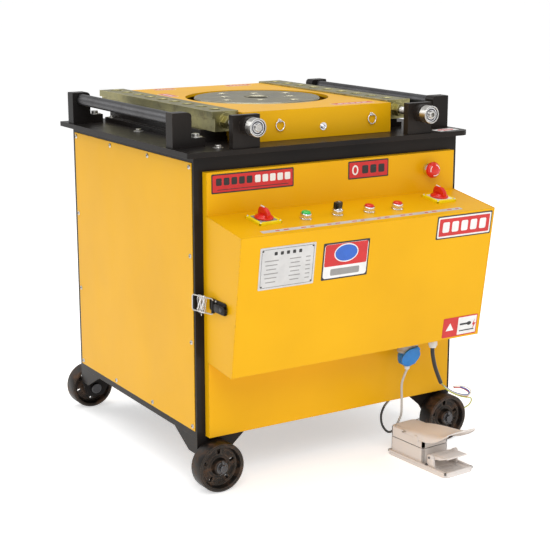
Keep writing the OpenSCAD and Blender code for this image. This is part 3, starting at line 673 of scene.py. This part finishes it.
bm = bmesh.new()
for x in RING_X:
    at = frame_at(P(x, HEAD_FRONT, 847), FRONT)
    lathe(bm, [(0, 0), (4.6, 0), (4.6, 0.8), (3.2, 1.4), (0, 1.4)], at, 28)
    eye = [P(x, -279 + 3.6 * math.cos(math.radians(a)), 847 + 3.6 * math.sin(math.radians(a)))
           for a in range(20, 341, 16)]
    tube(bm, eye, 0.0013, 8)
at = frame_at(P(12, HEAD_FRONT, 826), FRONT)
lathe(bm, [(0, 0), (9.5, 0), (9.5, 1.2), (6, 1.2), (6, 5.4), (5.4, 6), (3.2, 6), (3.0, 3.2), (0, 3.2)], at,
      32)
fit = place("head_fitting_set", bm, CHROME, "base")
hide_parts("head_fittings")


# ---------------------------------------------------------------- console controls
def top_z(y):
    return 654.8 + (y - DOOR_Y) * 24.2 / 157


TOP_NORMAL = (0, -math.sin(SLOPE), math.cos(SLOPE))


def on_top(x, y):
    return frame_at(P(x, y, top_z(y)), TOP_NORMAL)


STOP_AT = frame_at(P(271, DOOR_Y, 712), FRONT)      # emergency stop on the door
SWITCHES = [("left", -242, -417), ("right", 263, -410)]
bm = bmesh.new()
for side, x, y in SWITCHES:
    at = on_top(x, y) @ turned(3)
    prism(bm, rounded(62, 62, 4), 5.6, at, 0, 1.0, 3)
    prism(bm, rounded(46, 46, 2), 0.5, at @ shift(0, 0, 5.6), 1 if side == "left" else 2, 0.15, 1)
    for sx in (-1, 1):
        for sy in (-1, 1):
            pan_screw(bm, at @ shift(sx * 26.5, sy * 26.5, 4.8), 2.2, 3)
    for a in range(20, 160, 23):
        prism(bm, rounded(1.0, 3.6, 0.4, 2), 0.2,
              at @ turned(a) @ shift(0, 21.2, 6.1), 4)
bases = place("switch_base_set", bm, [SWITCHYELLOW, LGREY, LWHITE, BRIGHT, LBLACK], "door_body")
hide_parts("switch_bases")

for side, x, y in SWITCHES:
    bm = bmesh.new()
    at = on_top(x, y)
    lathe(bm, [(0, 6.4), (21, 6.4), (22, 7.2), (22, 9.4), (20.5, 11), (15.5, 12.2), (13.6, 15), (0, 15)],
          at, 56)
    grip = [(-21, 0), (21, 0), (21, 9), (17, 17.5), (6, 20), (-8, 20), (-21, 12)]
    turn = at @ turned(90) @ shift(0, 0, 10.5)
    up = turn @ turned(90, "X") @ shift(0, 0, -5.2)
    prism(bm, grip, 10.4, up, 0, 2.2, 4)
    prism(bm, rounded(4, 15, 1, 3), 0.5, turn @ shift(9, 0, 20) @ turned(90), 1)
    handle = place(side + "_switch_grip", bm, [RED, LWHITE], side + "_switch_body", 35)
    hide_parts(side + "_switch_handle")

BUTTONS = [(-142, -436), (-54, -434), (32, -439), (112, -442)]
bm = bmesh.new()
for x, y in BUTTONS:
    at = on_top(x, y)
    lathe(bm, [(0, 0), (14.3, 0), (14.3, 2.2), (13.4, 3.2), (12.2, 3.6), (12.2, 8.4), (13.6, 8.9),
               (13.9, 10.4), (13.4, 13.2), (12.4, 14), (11.1, 14), (11.0, 1.2), (0, 1.2)], at, 64)
    for a in around(30):
        prism(bm, rounded(0.9, 0.9, 0.2, 1), 4.4, at @ polar(12.3, a, 3.8))
lathe(bm, [(9, 0), (15, 0), (15, 5), (14, 8), (12.8, 10), (9, 10)], STOP_AT, 56)
bezels = place("bezel_set", bm, CHROME, "door_body", 30)
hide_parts("bezels")

for nm, k, m in (("green_button", 0, GREEN), ("red_button", 2, RED), ("second_red_button", 3, RED)):
    bm = bmesh.new()
    at = on_top(*BUTTONS[k])
    lathe(bm, [(0, 4.4), (10.8, 4.4), (10.8, 15.6), (10.2, 17.2), (8.6, 18.1), (5, 18.6), (0, 18.7)], at,
          48)
    lathe(bm, [(10.8, 13.6), (10.95, 13.9), (10.95, 14.6), (10.8, 14.9)], at, 48)
    ob = place(nm + "_cap", bm, m, nm + "_body", 30)
    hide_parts(nm)
bm = bmesh.new()
at = on_top(*BUTTONS[1])
lathe(bm, [(0, 4.4), (10.8, 4.4), (10.8, 15), (10, 16), (0, 16)], at, 48, 1)
turn = at @ turned(18)
prism(bm, rounded(21, 13, 3), 15, turn @ shift(0, 0, 15.5), 0, 1.6, 3)
prism(bm, rounded(1.6, 7, 0.6, 2), 0.3, turn @ shift(3.5, 0, 30.4), 2)
knob = place("selector_grip", bm, [BLACKPLASTIC, CHROME, LWHITE], "selector_body", 35)
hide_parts("selector_knob")

bm = bmesh.new()
lathe(bm, [(0, 5), (8.6, 5), (8.6, 14.2), (11, 16), (16, 16.4), (19.6, 18.4), (20, 20.5), (19.4, 24),
           (16.5, 28), (11, 30.6), (5, 31.6), (0, 31.8)], STOP_AT, 64)
for k in range(3):
    arc = []
    for r, steps in ((14.2, range(9)), (12.4, range(8, -1, -1))):
        arc += [(r * math.cos(math.radians(10 + 8 * j)), r * math.sin(math.radians(10 + 8 * j)))
                for j in steps]
    prism(bm, arc, 1.8, STOP_AT @ turned(120 * k) @ shift(0, 0, 28.2), 1)
stop = place("emergency_stop_head", bm, [RED, LWHITE], "emergency_stop_body", 35)
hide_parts("emergency_stop")


# ---------------------------------------------------------------- plates and labels (no lettering)
def flat_on(name, body, at, w, h, layers, mats):
    """A thin plate w x h with raised printed shapes; layers hold outline, height, material number."""
    bm = bmesh.new()
    prism(bm, rounded(w, h, 2.5, 4), 0.7, at, 0, 0.15, 1)
    for outline, high, mat in layers:
        prism(bm, outline, 0.12, at @ shift(0, 0, high), mat)
    return place(name, bm, mats, body, 30)


def bar(cx, cy, w, h, r=0.0):
    if r:
        return [(cx + x, cy + y) for x, y in rounded(w, h, r, 4)]
    return [(cx - w / 2, cy - h / 2), (cx + w / 2, cy - h / 2), (cx + w / 2, cy + h / 2),
            (cx - w / 2, cy + h / 2)]


def plain_blocks(cx, cy, count, w, h, gap, high, mat):
    """A run of plain blocks where a sign would carry its message."""
    x = cx - (count - 1) * (w + gap) / 2
    return [(bar(x + k * (w + gap), cy, w, h, min(w, h) * 0.2), high, mat) for k in range(count)]


def on_door(x0, x1, z0, z1):
    return frame_at(P((x0 + x1) / 2, DOOR_Y, (z0 + z1) / 2), FRONT), x1 - x0, z1 - z0


def on_front(x0, x1, z0, z1):
    z = (z0 + z1) / 2
    y = -463.5 - (z - 303) * 46.5 / 327.6
    return (frame_at(P((x0 + x1) / 2, y, z), (0, -math.cos(LEAN), -math.sin(LEAN))), x1 - x0,
            (z1 - z0) / math.cos(LEAN))


at, w, h = on_door(-340, -122, 703.5, 748)
layers = [(bar(0, 0, w - 6, h - 6, 2), 0.7, 1)]
layers += plain_blocks(-50, 4, 5, 15, 17, 5, 0.8, 2) + plain_blocks(52, 4, 5, 15, 17, 5, 0.8, 3)
layers.append((bar(0, -14, w - 30, 1.6), 0.8, 2))
signs = [flat_on("door_sign_left", "door_body", at, w, h, layers, [LBLACK, LRED, LBLACK, LWHITE])]
at, w, h = on_door(32, 150, 705, 748)
layers = [(bar(0, 0, w - 6, h - 6, 2), 0.7, 1), (ellipse(-39, 0, 9, 12), 0.8, 3),
          (ellipse(-39, 0, 5, 8), 0.92, 1)]
layers += plain_blocks(14, 0, 3, 18, 20, 6, 0.8, 2)
signs.append(flat_on("door_sign_right", "door_body", at, w, h, layers, [LBLACK, LRED, LBLACK, LWHITE]))
at, w, h = on_front(-304, -158, 505, 603)
layers = [(bar(0, h / 2 - 5, w - 12, 0.8), 0.7, 1), (bar(0, 5 - h / 2, w - 12, 0.8), 0.7, 1),
          (bar(w / 2 - 5, 0, 0.8, h - 12), 0.7, 1), (bar(5 - w / 2, 0, 0.8, h - 12), 0.7, 1)]
layers += plain_blocks(0, h / 2 - 16, 5, 8, 8, 8, 0.7, 1)
for k in range(6):
    z = h / 2 - 32 - 10 * k
    layers += [(bar(-42, z, 36 - 5 * (k % 3), 2.4), 0.7, 2), (bar(20, z, 30 - 6 * (k % 2), 2.4), 0.7, 2),
               (bar(54, z, 12, 2.4), 0.7, 2)]
for sx in (-1, 1):
    for sy in (-1, 1):
        layers.append((ellipse(sx * (w / 2 - 8), sy * (h / 2 - 8), 2, 2, 16), 0.7, 3))
signs.append(flat_on("rating_plate", "door_body", at, w, h, layers, [LSILVER, LBLACK, LGREY, BRIGHT]))
at, w, h = on_front(-137, -10, 507, 595)
layers = [(bar(0, 0, w - 7, h - 7, 7), 0.7, 1), (bar(0, 14, w - 10, h - 36, 4), 0.8, 2),
          (ellipse(0, 17, 33, 22), 0.9, 1), (ellipse(0, 17, 30.5, 19.5), 1.0, 3),
          (bar(0, -27, 80, 16, 3), 0.85, 4)]
signs.append(flat_on("front_badge", "door_body", at, w, h, layers, [LBLACK, LWHITE, LRED, LBLUE, LGREY]))
at, w, h = on_front(183, 350, 568, 625)
layers = [(bar(0, 0, w - 6, h - 6, 3), 0.7, 1), (bar(0, 0, w - 14, h - 14, 2), 0.8, 2)]
layers += plain_blocks(0, 0, 5, 20, 26, 8, 0.9, 1)
signs.append(flat_on("size_sign", "door_body", at, w, h, layers, [LBLACK, LWHITE, LRED]))
at, w, h = on_front(240, 347, 308, 359)
tri = [(-32, 12), (-44, -8), (-20, -8)]
layers = [(bar(-30, 0, 40, h - 6, 1), 0.7, 1), (bar(22, 0, 58, h - 6, 1), 0.7, 2), (tri, 0.8, 2),
          (bar(12, 4, 26, 5, 2), 0.8, 3), (ellipse(28, 4, 7, 5, 24), 0.8, 3), (bar(22, -13, 46, 3), 0.8, 3),
          ([(46, 14), (38, -2), (43, -2), (40, -14), (50, 3), (44, 3)], 0.8, 1)]
signs.append(flat_on("cable_sign", "door_body", at, w, h, layers, [LRED, LRED, LWHITE, LBLACK]))
for s in signs:
    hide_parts("label_plates")

# thin strip of plain marks under the controls
bm = bmesh.new()
strip = on_top(-10, -487)
prism(bm, bar(0, 0, 560, 14, 1), 0.35, strip, 0)
for k in range(24):
    x = -262 + 23 * k
    if k % 3:
        prism(bm, bar(x, 0, 13 - 3 * (k % 2), 4, 0.6), 0.12, strip @ shift(0, 0, 0.35), 1)
place("control_strip", bm, [LSILVER, LRED], "door_body", 30)

# stickers on the head's corners and the table's front corner
for nm, x, y, turn, w in (("sticker_a", -176, 170, 88, 76), ("sticker_b", -110, 318, 0, 60),
                          ("sticker_c", 120, 318, 0, 76), ("sticker_d", 122, -238, 0, 118)):
    at = frame_at(P(x, y, HEAD_TOP), UP) @ turned(turn)
    layers = [(bar(0, 0, w - 3, 23, 1), 0.7, 1)] + plain_blocks(0, 0, 5, w / 9, 8, w / 24, 0.8, 2)
    flat_on(nm, "base", at, w, 26, layers, [LWHITE, LRED, LWHITE])
at = frame_at(P(348, -322, TABLE_TOP), UP) @ turned(8)
layers = [(ellipse(0, 0, 26, 13), 0.7, 1)]
layers += [(bar(x, 0, w, h, 2), 0.82, 0) for x, w, h in ((0, 8, 20), (-14, 6, 14), (14, 6, 14))]
flat_on("plate_sticker", "base", at, 66, 34, layers, [LWHITE, LRED])


# ---------------------------------------------------------------- latch with its twisted wire
PIVOT = (-363, -396)
REACH = (-17.2, 65.0)
LEG = math.hypot(*REACH)


def on_bail(u, z, out=0.0):
    """Point u mm along the latch loop at height z, out mm outwards from its plane."""
    dx, dy = REACH[0] / LEG, REACH[1] / LEG
    return P(PIVOT[0] + u * dx - out * dy, PIVOT[1] + u * dy + out * dx, z)


bm = bmesh.new()
tube(bm, [on_bail(u, z) for u, z in ((0, 441), (3, 438), (LEG - 3, 438), (LEG, 441), (LEG, 471),
                                     (LEG - 3, 474), (3, 474), (0, 471))], 0.0016, 10, 0, True)
bail_ob = place("latch_bail_wire", bm, BRIGHT, "latch_bail_body", 60)
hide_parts("latch_bail")

bm = bmesh.new()
at = frame_at(P(-CHEEK_X, -409, 458), (-1, 0, 0), FRONT)
prism(bm, rounded(74, 28, 4), 3, at, 0, 0.8, 2)
prism(bm, rounded(48, 19, 4), 7.5, at @ shift(19, -1.5, 3), 0, 1.2, 2)
lathe(bm, [(0, 0), (5, 0), (5, 1.2), (3.6, 2), (0, 2)], at @ shift(27, 0, 10.5), 24, 1)
for dx, dy in ((0, -11), (-7, 11)):
    pan_screw(bm, at @ shift(dx, dy, 3), 2.4, 2)
lathe(bm, [(1.9, 0), (4, 0), (4, 29), (1.9, 29)], frame_at(P(*PIVOT, 441.5), UP), 28, 0, True)
prism(bm, rounded(5, 27, 0.8), 1.6, at @ shift(-13, -2, 3), 0, 0.3, 1)
base_ob = place("latch_base_plate", bm, [BLACK, DARKSTEEL, BRIGHT], "door_body", 35)
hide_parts("latch_base")

# soft iron wire wound round the two legs of the latch loop
bm = bmesh.new()
coil = []
for k in range(240):
    t = k / 239
    a = 2 * math.pi * 6.5 * t
    coil.append(on_bail(24 + 24 * t + 1.3 * math.sin(4.3 * a), 456 + 20.3 * math.sin(a), 3.1 * math.cos(a)))
tube(bm, coil, 0.0007, 8)
for s0, s1 in ((1, 0.4), (-1, 1.0)):
    tube(bm, [on_bail(36 + s0 * 10 * t, 456 - 20 * s1 * t + 4 * math.sin(5 * t), 4 + 7 * t * s1) for t in
              [k / 20 for k in range(21)]], 0.0007, 8)
place("latch_wire", bm, CHROME, "latch_bail_body", 60)


# ---------------------------------------------------------------- socket, plug and gland
bm = bmesh.new()
at = frame_at(P(*PLUG, 268), UP)
lathe(bm, [(17.1, 0), (24.5, 0), (26, 1.5), (26, 6), (24.6, 7.5), (24.6, 30), (26, 32), (26, 41),
           (17.1, 41)], at, 56, 0, True)
for a in around(12):
    prism(bm, rounded(2.0, 1.6, 0.5, 2), 20, at @ polar(24.8, a, 9), 0)
g = frame_at(P(*GLAND, 280), UP)
lathe(bm, [(5.05, 0), (7.8, 0), (9, 2), (9, 5), (5.05, 5)], g, 36, 1, True)
for a in range(0, 360, 36):
    prism(bm, rounded(1.5, 2.4, 0.5, 2), 5, g @ turned(a) @ shift(8.2, 0, 0.8), 1)
prism(bm, ellipse(0, 0, 12.4, 12.4, 6), 11, g @ shift(0, 0, 6), 1, 1.2, 2)
lathe(bm, [(0, 17), (11, 17), (11, 22), (9.2, 22.4), (9.2, 26), (0, 26)], g, 36, 1)
sock = place("socket_and_gland", bm, [GREYPLASTIC, WHITEPLASTIC], "door_body", 35)
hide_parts("pedal_socket")

bm = bmesh.new()
at = frame_at(P(*PLUG, 222), UP)
lathe(bm, [(3.1, 0), (5.4, 0), (6.2, 1.6), (7.6, 8.4), (3.1, 8.4)], at, 40, 2, True)
lathe(bm, [(3.1, 8.6), (8, 8.6), (13, 12), (19, 16), (21.6, 17.4), (21.6, 20), (23, 21), (23, 40),
           (21.8, 41), (21.8, 46), (16.9, 46), (16.9, 60.5), (3.1, 60.5)], at, 56, 0, True)
for a in range(0, 360, 18):
    prism(bm, rounded(2.2, 1.4, 0.5, 2), 15, at @ turned(a) @ shift(22.6, 0, 23.2), 0)
# flip lid of the socket hanging in front of the plug
lid = frame_at(P(177, -423.5, 262), (-0.30, -0.94, -0.10), (0.74, 0, 0.67))
prism(bm, ellipse(0, 0, 27, 18.5), 5.5, lid, 1, 1.6, 3)
prism(bm, rounded(9, 12, 2), 5, lid @ shift(26, 4, 0), 1, 0.8, 2)
plug = place("pedal_plug_body", bm, [BLUE, BLUE, WHITEPLASTIC], "door_body", 35)
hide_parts("pedal_plug")


# ---------------------------------------------------------------- foot switch
FOOT = Matrix.Translation(P(198, -484, 0)) @ turned(4)


def side_at(x):
    """Local X to the foot switch's front, local Y up, extruding towards +X of the switch."""
    return FOOT @ shift(x, 0, 0) @ Matrix(((0, 0, 1, 0), (1, 0, 0, 0), (0, 1, 0, 0), (0, 0, 0, 1)))


bm = bmesh.new()
prism(bm, rounded(92, 212, 9), 8.5, FOOT, 0, 1.6, 3)
for w, h, x, y in ((92, 6, 0, -103), (92, 6, 0, 103), (6, 212, -43, 0), (6, 212, 43, 0)):
    prism(bm, rounded(w, h, 2.5), 5.4, FOOT @ shift(x, y, 7.8), 0, 1.4, 3)
for sx in (-1, 1):
    ear = [(-60, 7), (-32, 7), (-34, 26), (-39, 40), (-46, 44), (-53, 40), (-57, 26)]
    prism(bm, ear, 5.4, side_at(-40 if sx < 0 else 34.6), 0, 1.2, 3)
    boss = side_at(-44.4 if sx < 0 else 40) @ shift(-46, 36, 0)
    lathe(bm, [(0, 0), (6.4, 0), (7.4, 1), (7.4, 4.4), (0, 4.4)][::sx], boss, 28)
    low = side_at(-44 if sx < 0 else 40.8) @ shift(-34, 14, 0)
    lathe(bm, [(0, 0), (3.6, 0), (3.6, 3.2), (0, 3.2)], low, 20, 1)
    pin = side_at(-45.2 if sx < 0 else 42) @ shift(-46, 36, 0)
    lathe(bm, [(0, 0), (3.2, 0), (3.2, 3.2), (0, 3.2)], pin, 20, 1)
for k in range(6):
    prism(bm, rounded(60, 2, 0.8, 2), 1.0, FOOT @ shift(0, -92 + 7 * k, 8.3), 0)
for sx in (-1, 1):
    bolt_head(bm, FOOT @ shift(sx * 30, -98, 8.5), 5, 3, 1)
fb = place("foot_base_casting", bm, [CAST, DARKSTEEL], "door_body", 35)
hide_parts("foot_base")

bm = bmesh.new()
lower = rounded(82, 121, 6)
prism(bm, lower, 40, FOOT @ shift(0, 40.5, 8.6), 0, 1.4, 3)
prism(bm, rounded(79.6, 118.6, 5), 2.2, FOOT @ shift(0, 40.5, 48.2), 1)
prism(bm, lower, 26.5, FOOT @ shift(0, 40.5, 50.2), 0, 2.0, 3)
prism(bm, rounded(62, 100, 5), 3.4, FOOT @ shift(0, 48.5, 75.5), 0, 1.2, 3)
for sx in (-1, 1):
    for y in (6, 88):
        pan_screw(bm, FOOT @ shift(sx * 35, y, 76.6), 2.8, 2)
prism(bm, [(-17, 12), (-17.6, 12), (-17.6, 40), (-17, 40)], 60, side_at(-30), 1)
# curved guard hood: a cast shell with turned-down sides, flaring at the mouth
ROWS = [(60, 79, 41, 9), (40, 84, 42, 13), (20, 87.5, 43, 17), (0, 90, 44, 21), (-20, 92, 45, 23),
        (-40, 93.5, 45.6, 22), (-60, 95.5, 46, 18), (-78, 99, 46, 12), (-94, 104.5, 46, 8),
        (-108, 112, 46, 5)]
outer, inner = [], []
for y, z, half, drop in ROWS:
    for store, inset in ((outer, 0.0), (inner, 3.2)):
        row = []
        hw = half - inset
        r = min(10, drop * 0.9)
        row.append((-hw, z - drop))
        for k in range(7):
            a = math.radians(180 - 15 * k)
            row.append((-hw + r + r * math.cos(a), z - inset - r + r * math.sin(a)))
        for k in range(1, 6):
            row.append((-hw + r + (2 * hw - 2 * r) * k / 6, z - inset + 1.2 * math.sin(math.pi * k / 6)))
        for k in range(7):
            a = math.radians(90 - 15 * k)
            row.append((hw - r + r * math.cos(a), z - inset - r + r * math.sin(a)))
        row.append((hw, z - drop))
        store.append([bm.verts.new(FOOT @ Vector((x / 1000, y / 1000, zz / 1000))) for x, zz in row])
count = len(outer[0])
for grid in (outer, inner):
    for a, b in zip(grid, grid[1:]):
        for i in range(count - 1):
            bm.faces.new((a[i], a[i + 1], b[i + 1], b[i]))
for i in range(count - 1):
    bm.faces.new((outer[0][i], outer[0][i + 1], inner[0][i + 1], inner[0][i]))
    bm.faces.new((outer[-1][i], outer[-1][i + 1], inner[-1][i + 1], inner[-1][i]))
for i in (0, count - 1):
    for k in range(len(ROWS) - 1):
        bm.faces.new((outer[k][i], outer[k + 1][i], inner[k + 1][i], inner[k][i]))
# lug that joins hood and case on the left
lathe(bm, [(0, 0), (8, 0), (9, 1.2), (9, 5), (0, 5)], side_at(-45.5) @ shift(4, 70, 0), 28)
fh = place("foot_housing_casting", bm, [CAST, LBLACK, BRIGHT], "door_body", 45)
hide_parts("foot_housing")

# the cord's rubber bush at the rear
bm = bmesh.new()
rear = FOOT @ shift(0, 100.9, 21) @ turned(-90, "X")
lathe(bm, [(3.1, 0), (8, 0), (8, 3), (6, 4), (6, 6), (6.6, 6.6), (6.6, 8), (5.2, 9), (5.2, 12), (3.1, 12)],
      rear, 28, 0, True)
bush = place("foot_cord_bush", bm, CORDBLACK, "door_body", 45)

bm = bmesh.new()
lathe(bm, [(0, -39.8), (2.9, -39.8), (2.9, -33), (5.8, -33), (5.8, 33), (2.9, 33), (2.9, 39.8), (0, 39.8)],
      FOOT @ shift(0, -46, 36) @ turned(90, "Y"), 28)
blade = [(-24, 33.5), (-46, 41.6), (-70, 44.4), (-98, 45.8), (-98, 42), (-70, 40.4), (-46, 35), (-24, 30)]
prism(bm, blade, 64, side_at(-32), 0, 0.9, 2)
for sx in (-1, 1):
    cheek = [(-34, 30), (-52, 30), (-76, 36), (-90, 41), (-90, 43.5), (-60, 42), (-40, 38)]
    prism(bm, cheek, 2.6, side_at(-34 if sx < 0 else 31.4), 0, 0.8, 2)
for k in range(7):
    prism(bm, rounded(54, 1.6, 0.7, 2), 0.8, FOOT @ shift(0, -92 + 5.5 * k, 45 - 0.28 * k), 0)
fp = place("foot_pedal_casting", bm, CAST, "foot_pedal_body", 35)
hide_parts("foot_pedal")


# ---------------------------------------------------------------- door and console trim
# folded seams where the console's cheeks meet its face
bm = bmesh.new()
for sx in (-1, 1):
    x = CHEEK_X * sx
    edge = [P(x, -353.8, 654.7), P(x, -510, 630.6), P(x, -463.5, 303), P(x, -353.8, 315)]
    line = [a.lerp(b, k / 40) for a, b in zip(edge, edge[1:]) for k in range(40)] + [edge[-1]]
    tube(bm, [p + Vector((-0.0009 * sx, 0, 0)) for p in line], 0.0011, 8)
place("console_seams", bm, YELLOW, "door_body", 60)

# rubber seal round the inside of the door
bm = bmesh.new()
hx = 346
for a, b in (((-hx, 134), (hx, 134)), ((hx, 134), (hx, 747)), ((hx, 747), (-hx, 747)),
             ((-hx, 747), (-hx, 134))):
    pa, pb = P(a[0], -333.5, a[1]), P(b[0], -333.5, b[1])
    tube(bm, [pa.lerp(pb, k / 12) for k in range(13)], 0.0006, 8)
place("door_seal", bm, RUBBER, "door_body", 60)


# ---------------------------------------------------------------- floor, light
def floor_material():
    m = Mat("floor_paper")
    col = m.mix(m.ramp(m.noise(1.4, 3), 0.3, 0.8), (0.92, 0.92, 0.915), (0.90, 0.90, 0.90))
    return m.finish(col, m.remap(m.noise(30, 3), 0.7, 0.8), m.noise(200, 2), 0.03, 0.0002, 0,
                    more=(("Emission Color", (1, 1, 1, 1)), ("Emission Strength", 0.5)))


bm = bmesh.new()
bmesh.ops.create_grid(bm, x_segments=4, y_segments=4, size=40)
me = bpy.data.meshes.new("floor")
bm.to_mesh(me)
bm.free()
floor = bpy.data.objects.new("floor", me)
bpy.context.collection.objects.link(floor)
floor.location.z = -0.0005
me.materials.append(floor_material())

world = bpy.data.worlds.new("studio")
bpy.context.scene.world = world
world.use_nodes = True
world.node_tree.nodes["Background"].inputs["Color"].default_value = (1, 1, 1, 1)
world.node_tree.nodes["Background"].inputs["Strength"].default_value = 0.55


def area(name, loc, target, size, power):
    data = bpy.data.lights.new(name, "AREA")
    data.shape = "SQUARE"
    data.size = size
    data.energy = power
    ob = bpy.data.objects.new(name, data)
    bpy.context.collection.objects.link(ob)
    ob.location = loc
    ob.rotation_euler = (Vector(target) - Vector(loc)).to_track_quat("-Z", "Y").to_euler()


area("key_light", (-1.6, -3.0, 3.2), (0, 0, 0.5), 2.2, 60)
area("side_light", (3.4, -1.2, 2.2), (0, 0, 0.6), 1.8, 22)
area("top_light", (0.2, 0.6, 3.8), (0, 0, 0.6), 2.6, 48)
area("back_light", (-2.2, 3.2, 2.4), (0, 0, 0.6), 2.0, 26)

bpy.context.scene.view_settings.view_transform = "Standard"
